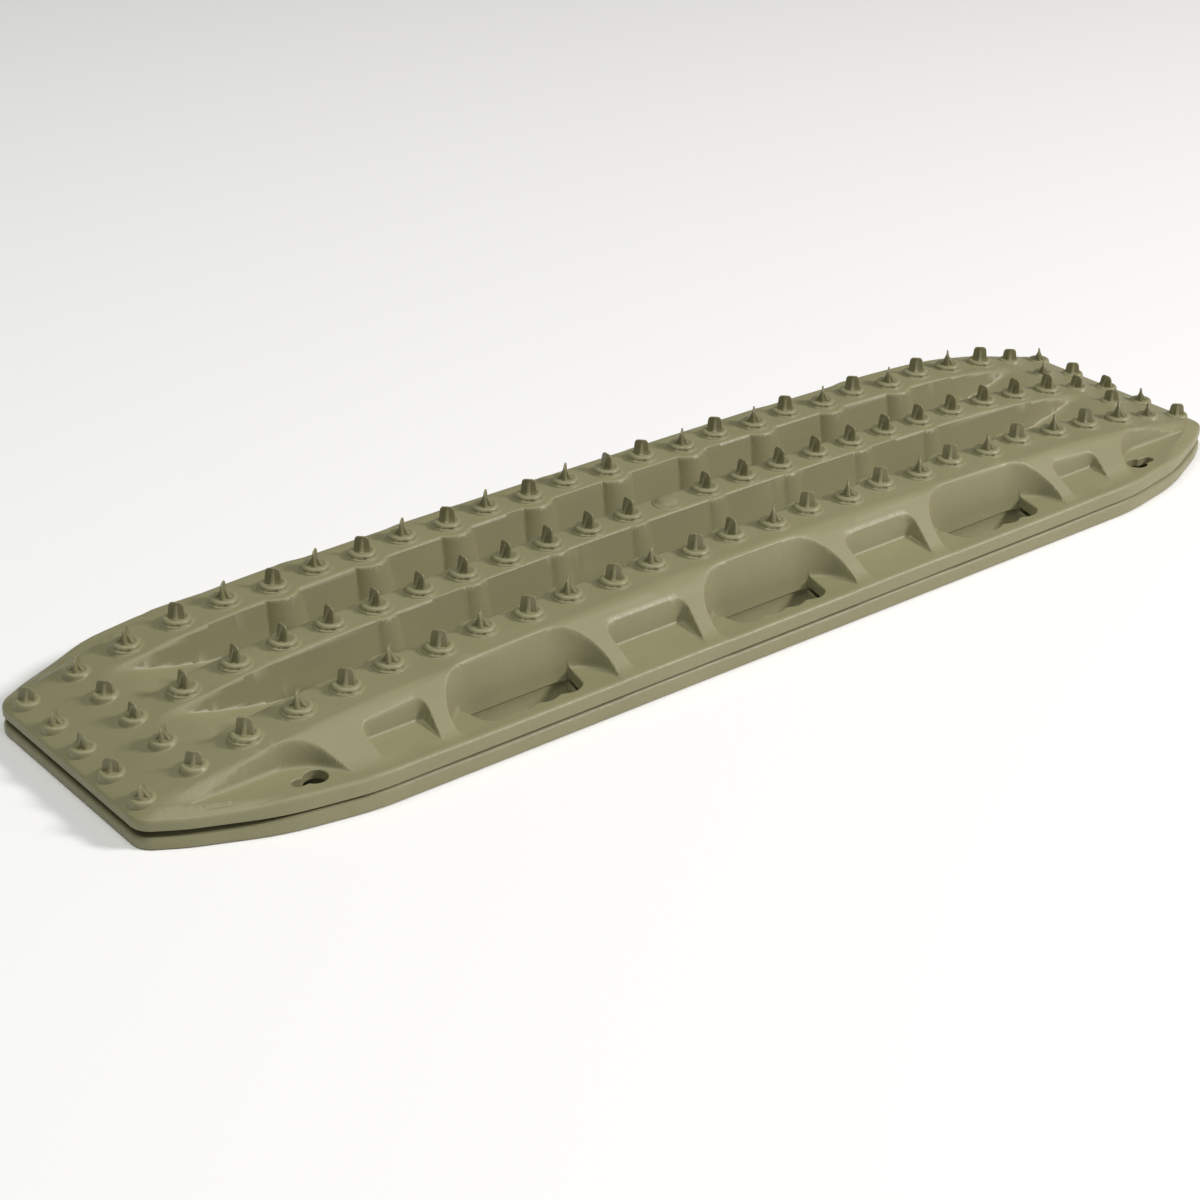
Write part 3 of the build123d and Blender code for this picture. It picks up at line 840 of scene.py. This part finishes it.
def rib_blades():
    blades = []
    for k in range(-ROWS, ROWS):
        x = (row_x(k) + row_x(k + 1)) / 2
        bottom = float(ridge_height(np.array(x))) - RIDGE_RIB_DEPTH
        half = half_width(x) - RIM_BAND
        y = np.arange(-half, half + 0.5, 1.0)
        top = surface_height(np.full(len(y), x), y, WALL) + 1.0
        inside_run = top > bottom + 1.2
        start = None
        for i in range(len(y)):
            if inside_run[i] and start is None:
                start = i
            if start is not None and (not inside_run[i] or i == len(y) - 1):
                if i - start > 3:
                    picked = sorted({start, i - 1, *range(start, i - 1, 3)})
                    first, last = y[picked[0]], y[picked[-1]]
                    tops = list(np.interp(np.linspace(first, last, len(picked)), y, top))
                    blades.append(rib_blade((x, first), (x, last), tops, bottom, RIB))
                start = None
    floor = CHANNEL_FLOOR - WALL + 1.0
    for side in (-1, 1):
        y = side * FLOOR_RIB_MIDDLE
        ends = (-CHANNEL_RUN, y), (CHANNEL_RUN, y)
        blades.append(rib_blade(*ends, [floor] * 2, FLOOR_RIB_BOTTOM, RIB))
        for k in range(-LAST_EVEN_ROW, LAST_EVEN_ROW + 1):
            x, half = row_x(k), FLOOR_RIB_WIDTH / 2
            ends = (x, y - half), (x, y + half)
            blades.append(rib_blade(*ends, [floor] * 2, FLOOR_RIB_BOTTOM, RIB))
    return blades


def end_seats():
    """Level discs under the last row of teeth, which reach into the rim band."""
    radii = np.array([0.0, 5.1, 5.4, 6.1, 7.0, 7.9, 8.8, 9.6, 10.2, 10.55, 10.69])
    heights = seat_profile(radii, np.full(len(radii), True))
    radii, heights = np.append(radii, [10.9, 11.5]), np.append(heights, [heights[-1] - 0.8, -8.0])
    discs = []
    for group, x, y, angle, on_ramp in TEETH:
        if abs(x) < END_ROW_X:
            continue
        base = float(ridge_height(np.array(x)))
        points = [(x, y, base + heights[0])]
        for r, h in zip(radii[1:], heights[1:]):
            for j in range(SEAT_SEGMENTS):
                turn = 2 * math.pi * j / SEAT_SEGMENTS
                points.append((x + r * math.cos(turn), y + r * math.sin(turn), base + h))
        faces = []
        for j in range(SEAT_SEGMENTS):
            k = (j + 1) % SEAT_SEGMENTS
            faces.append((0, 1 + j, 1 + k))
            for i in range(len(radii) - 2):
                a, b = 1 + i * SEAT_SEGMENTS, 1 + (i + 1) * SEAT_SEGMENTS
                faces.append((a + j, b + j, b + k, a + k))
        discs.append((points, faces))
    return discs


def corner_normals(mesh, normals):
    """Normals for face corners; a long triangle that leaves a rounded edge is flat there."""
    own = np.zeros(len(mesh.vertices) * 3)
    mesh.vertex_normals.foreach_get("vector", own)
    own = own.reshape(-1, 3)
    known = np.linalg.norm(normals, axis=1) > 0.5
    own[known] = normals[known]
    spots = np.zeros(len(mesh.vertices) * 3)
    mesh.vertices.foreach_get("co", spots)
    spots = spots.reshape(-1, 3) / MM
    vertex = np.zeros(len(mesh.loops), int)
    mesh.loops.foreach_get("vertex_index", vertex)
    start, total = (np.zeros(len(mesh.polygons), int) for i in range(2))
    mesh.polygons.foreach_get("loop_start", start)
    mesh.polygons.foreach_get("loop_total", total)
    corners = start[total == 3][:, None] + np.arange(3)
    a, b, c = (spots[vertex[corners[:, i]]] for i in range(3))
    face = np.cross(b - a, c - a)
    area = np.linalg.norm(face, axis=1)
    face /= np.maximum(area, 1e-9)[:, None]
    result = own[vertex]
    for i, (spot, p, q) in enumerate(((a, b, c), (b, c, a), (c, a, b))):
        lean = result[corners[:, i]]
        rise = np.maximum(np.abs((lean * (p - spot)).sum(1)), np.abs((lean * (q - spot)).sum(1)))
        flat = (rise > FLAT_LIMIT) & known[vertex[corners[:, i]]]
        result[corners[flat, i]] = face[flat]
    return result


def make_mesh(name, points, faces, normals=None):
    mesh = bpy.data.meshes.new(name)
    spots = [tuple(p) for p in np.asarray(points) * MM]
    mesh.from_pydata(spots, [], [tuple(int(i) for i in f) for f in faces])
    mesh.polygons.foreach_set("use_smooth", np.ones(len(mesh.polygons), bool))
    mesh.update()
    if normals is not None:
        mesh.normals_split_custom_set([tuple(n) for n in corner_normals(mesh, normals)])
    return mesh


def mirrored(points, normals, faces):
    """The half board and its mirror image, joined along the middle."""
    used = np.unique(np.concatenate([np.array(f) for f in faces]))
    place = np.full(len(points), -1)
    place[used] = np.arange(len(used))
    points, normals = points[used], normals[used]
    count = len(points)
    on_seam = np.abs(points[:, 1]) < 1e-4
    normals[on_seam, 1] = 0
    other = np.where(on_seam, np.arange(count), np.cumsum(~on_seam) - 1 + count)
    flip = np.array([1, -1, 1])
    faces = [place[list(f)] for f in faces]
    faces = [tuple(f) for f in faces] + [tuple(other[f][::-1]) for f in faces]
    points = np.concatenate([points, points[~on_seam] * flip])
    normals = np.concatenate([normals, normals[~on_seam] * flip])
    return points, normals, faces


def board_meshes():
    """The moulding's outer skin with its edges, and its underside with the ribs."""
    shell = half_shell()
    half_points, half_normals = np.concatenate(shell.points), np.concatenate(shell.normals)
    meshes = []
    for name, faces, extras in (
        ("skin", shell.faces, end_seats()),
        ("underside", shell.under_faces, rib_blades()),
    ):
        points, normals, faces = mirrored(half_points, half_normals, faces)
        for extra_points, extra_faces in extras:
            first = len(points)
            points = np.concatenate([points, extra_points])
            normals = np.concatenate([normals, np.zeros((len(extra_points), 3))])
            faces += [tuple(first + i for i in f) for f in extra_faces]
        meshes.append(make_mesh(name, points, faces, normals))
    return meshes


# ---------------------------------------------------------------- teeth
def tooth_ring(a, b, c, e):
    """A plus-shaped section: a blade of half length a and half thickness b, and across it
    a gusset of half thickness c and half reach e, with their edges and inner corners rounded."""
    edge = min(0.55, 0.8 * b)
    e = max(e, b + 0.05)
    fillet = min(0.6, (e - b) * 0.6)
    tip = min(0.45, 0.7 * c, (e - b) * 0.4)
    quarter = [(a, 0), (a, b - edge), (a - 0.3 * edge, b - 0.3 * edge), (a - edge, b)]
    quarter += [(c + fillet, b), (c + 0.3 * fillet, b + 0.3 * fillet), (c, b + fillet)]
    quarter += [(c, e - tip), (c - 0.3 * tip, e - 0.3 * tip), (c - tip, e), (0, e)]
    points = quarter[:]
    points += [(-x, y) for x, y in reversed(quarter[:-1])]
    points += [(-x, -y) for x, y in quarter[1:]]
    points += [(x, -y) for x, y in reversed(quarter[1:-1])]
    return points


def tooth_shape(height):
    """A chisel tooth that stands on z = 0 with its crest along x."""
    points, faces = [], []
    shares = (-0.12, 0.0, 0.06, 0.14, 0.26, 0.4, 0.55, 0.7, 0.8, 0.87, 0.925, 0.965, 0.99, 1.0)
    for share in shares:
        t = max(share, 0)
        a = TOOTH_HALF_FOOT - (TOOTH_HALF_FOOT - TOOTH_HALF_CREST) * t
        corner = max(share * height - (height - TOOTH_CORNER_RISE), 0) / TOOTH_CORNER_RISE
        a -= TOOTH_CORNER_RUN * (1 - math.sqrt(max(1 - corner**2, 0)))
        b = 0.7 + 1.0 * (1 - t) ** 1.2 + 0.35 * max(0, 1 - t / 0.14) ** 2
        cap = max(share * height - (height - TOOTH_CREST_ROUND), 0) / TOOTH_CREST_ROUND
        b *= 0.25 + 0.75 * math.sqrt(max(1 - cap**2, 0))
        e = b + 0.05 + 4.3 * max(1 - t / 0.9, 0) ** 1.55
        e += 0.5 * max(0, 1 - t / 0.1) ** 2
        c = 0.8 + 0.8 * (1 - t)
        if t > 0.85:
            c = min(c, max(a - 1.2, 0.3))
        points += [(x, y, share * height) for x, y in tooth_ring(a, b, c, e)]
    n = len(points) // len(shares)
    for i in range(len(shares) - 1):
        for j in range(n):
            k = (j + 1) % n
            faces.append((i * n + j, i * n + k, (i + 1) * n + k, (i + 1) * n + j))
    faces.append(tuple(range(n))[::-1])
    faces.append(tuple((len(shares) - 1) * n + j for j in range(n)))
    return np.array(points), faces


def teeth_meshes():
    shapes = {low: tooth_shape(RAMP_TOOTH_HEIGHT if low else TOOTH_HEIGHT) for low in (False, True)}
    groups = {}
    for group, x, y, angle, on_ramp in TEETH:
        points, faces = groups.setdefault(group, ([], []))
        shape, shape_faces = shapes[on_ramp]
        c, s = math.cos(math.radians(angle)), math.sin(math.radians(angle))
        turned = shape @ np.array([[c, s, 0], [-s, c, 0], [0, 0, 1]])
        seat = float(ridge_height(np.array(x))) + (RAMP_COLLAR_HEIGHT if on_ramp else COLLAR_HEIGHT)
        first = sum(len(p) for p in points)
        points.append(turned + np.array([x, y, seat]))
        faces += [tuple(first + i for i in f) for f in shape_faces]
    return {g: make_mesh(g, np.concatenate(p), f) for g, (p, f) in groups.items()}


# ---------------------------------------------------------------- materials
def plastic(name, light, dark, roughness):
    """Satin moulded plastic: a fine grain, paler streaks of painted sheen stretched the way the plastic
    ran in the mould, and slightly paler worn edges.
    """
    material = bpy.data.materials.new(name)
    material.use_nodes = True
    nodes, links = material.node_tree.nodes, material.node_tree.links
    shader = nodes["Principled BSDF"]
    shader.inputs["IOR"].default_value = 1.48
    where = nodes.new("ShaderNodeTexCoord")

    def noise(scale, detail, stretch=(1, 1, 1)):
        mapping = nodes.new("ShaderNodeMapping")
        mapping.inputs["Scale"].default_value = stretch
        texture = nodes.new("ShaderNodeTexNoise")
        texture.inputs["Scale"].default_value = scale
        texture.inputs["Detail"].default_value = detail
        links.new(where.outputs["Object"], mapping.inputs["Vector"])
        links.new(mapping.outputs["Vector"], texture.inputs["Vector"])
        return texture.outputs["Fac"]

    def ramp_between(value, low, high, a, b):
        node = nodes.new("ShaderNodeMapRange")
        node.inputs["From Min"].default_value = low
        node.inputs["From Max"].default_value = high
        node.inputs["To Min"].default_value = a
        node.inputs["To Max"].default_value = b
        links.new(value, node.inputs["Value"])
        return node.outputs["Result"]

    def mix(factor, a, b):
        node = nodes.new("ShaderNodeMix")
        node.data_type = "RGBA"
        links.new(factor, node.inputs["Factor"])
        for socket, value in ((node.inputs["A"], a), (node.inputs["B"], b)):
            if isinstance(value, tuple):
                socket.default_value = (*value, 1)
            else:
                links.new(value, socket)
        return node.outputs["Result"]

    clouds = noise(9.0, 3.0)
    # painted sheen: paler streaks stretched the way the plastic ran in the mould
    painted_sheen = noise(14.0, 4.0, (1.0, 5.0, 2.0))
    grain = noise(1100.0, 2.0)
    speckle = noise(320.0, 3.0)
    body = mix(ramp_between(clouds, 0.35, 0.65, 0, 1), dark, light)
    paler = tuple(min(1, c * 1.07) for c in light)
    body = mix(ramp_between(painted_sheen, 0.52, 0.72, 0, 0.5), body, paler)
    geometry = nodes.new("ShaderNodeNewGeometry")
    wear = ramp_between(geometry.outputs["Pointiness"], 0.53, 0.62, 0, 0.35)
    worn = tuple(min(1, c * 1.35 + 0.02) for c in light)
    body = mix(wear, body, worn)
    body = mix(ramp_between(speckle, 0.3, 0.7, 0, 0.12), body, tuple(c * 0.7 for c in dark))
    links.new(body, shader.inputs["Base Color"])
    uneven = ramp_between(speckle, 0.3, 0.7, roughness - 0.05, roughness + 0.06)
    links.new(uneven, shader.inputs["Roughness"])
    fine = nodes.new("ShaderNodeBump")
    fine.inputs["Strength"].default_value = 0.5
    fine.inputs["Distance"].default_value = 0.00006
    links.new(grain, fine.inputs["Height"])
    broad = nodes.new("ShaderNodeBump")
    broad.inputs["Strength"].default_value = 0.35
    broad.inputs["Distance"].default_value = 0.0002
    links.new(speckle, broad.inputs["Height"])
    links.new(fine.outputs["Normal"], broad.inputs["Normal"])
    links.new(broad.outputs["Normal"], shader.inputs["Normal"])
    return material


def floor_material():
    material = bpy.data.materials.new("pale_floor")
    material.use_nodes = True
    nodes, links = material.node_tree.nodes, material.node_tree.links
    shader = nodes["Principled BSDF"]
    noise = nodes.new("ShaderNodeTexNoise")
    noise.inputs["Scale"].default_value = 1.5
    mix = nodes.new("ShaderNodeMix")
    mix.data_type = "RGBA"
    mix.inputs["A"].default_value = (0.955, 0.955, 0.95, 1)
    mix.inputs["B"].default_value = (0.98, 0.98, 0.98, 1)
    links.new(noise.outputs["Fac"], mix.inputs["Factor"])
    links.new(mix.outputs["Result"], shader.inputs["Base Color"])
    shader.inputs["Roughness"].default_value = 0.85
    return material


# ---------------------------------------------------------------- build
board_plastic = plastic("board_plastic", (0.262, 0.247, 0.132), (0.243, 0.229, 0.121), 0.46)
# the teeth take the board's plastic in darker colours: painted shade for their steep glossy faces
tooth_plastic = plastic("tooth_plastic", (0.225, 0.212, 0.112), (0.2, 0.188, 0.098), 0.38)


def place_piece(name, mesh, body, level, node):
    piece = bpy.data.objects.new(name, mesh)
    bpy.context.scene.collection.objects.link(piece)
    piece.location.z = level * MM
    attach(piece, body)
    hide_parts(node)


board_parts = board_meshes()
for mesh in board_parts:
    mesh.materials.append(board_plastic)
tooth_groups = teeth_meshes()
for mesh in tooth_groups.values():
    mesh.materials.append(tooth_plastic)
for body, level in (("lower", 0.0), ("upper", NEST_STEP)):
    for mesh in board_parts:
        place_piece(body + "_" + mesh.name, mesh, body, level, body + "_board")
    for group, mesh in tooth_groups.items():
        node = body + "_" + group + "_teeth"
        place_piece(node.replace("_teeth", "_spikes"), mesh, body, level, node)

# ---------------------------------------------------------------- floor, light and camera
# in metres, apart from the lens
FLOOR_HALF = 14.0
FLOOR_DROP = 0.0006
WORLD_LIGHT = 0.15
LENS, SENSOR = 75.66, 36.0
CAMERA_PLACE = (-1.2522, -1.4946, 0.9807)
CAMERA_LOOK = (0.5501, 0.6973, -0.4594)


def make_floor():
    mesh = bpy.data.meshes.new("floor")
    corner = [(-1, -1), (1, -1), (1, 1), (-1, 1)]
    spots = [(x * FLOOR_HALF, y * FLOOR_HALF, -FLOOR_DROP) for x, y in corner]
    mesh.from_pydata(spots, [], [(0, 1, 2, 3)])
    mesh.materials.append(floor_material())
    floor = bpy.data.objects.new("floor", mesh)
    bpy.context.scene.collection.objects.link(floor)


def area_light(name, location, target, size, power, color):
    light = bpy.data.lights.new(name, "AREA")
    light.shape = "RECTANGLE"
    light.size, light.size_y = size
    light.energy = power
    light.color = color
    lamp = bpy.data.objects.new(name, light)
    bpy.context.scene.collection.objects.link(lamp)
    lamp.location = location
    lamp.rotation_euler = (Vector(target) - Vector(location)).to_track_quat("-Z", "Y").to_euler()


def make_world():
    world = bpy.data.worlds.new("studio")
    world.use_nodes = True
    background = world.node_tree.nodes["Background"]
    background.inputs["Color"].default_value = (1.0, 1.0, 1.0, 1)
    background.inputs["Strength"].default_value = WORLD_LIGHT
    bpy.context.scene.world = world


def make_camera():
    data = bpy.data.cameras.new("camera")
    data.sensor_width = SENSOR
    data.lens = LENS
    data.clip_start, data.clip_end = 0.05, 60.0
    camera = bpy.data.objects.new("camera", data)
    bpy.context.scene.collection.objects.link(camera)
    camera.location = CAMERA_PLACE
    camera.rotation_mode = "QUATERNION"
    camera.rotation_quaternion = Vector(CAMERA_LOOK).to_track_quat("-Z", "Y")
    bpy.context.scene.camera = camera


make_floor()
make_world()
area_light("key", (3.8, -4.2, 3.9), (0, 0, 0), (1.3, 1.3), 345, (1.0, 0.955, 0.975))
area_light("top", (-1.2, -0.6, 5.4), (0, 0, 0), (4.0, 3.0), 165, (0.98, 1.0, 0.95))
make_camera()
bpy.context.scene.view_settings.view_transform = "Standard"
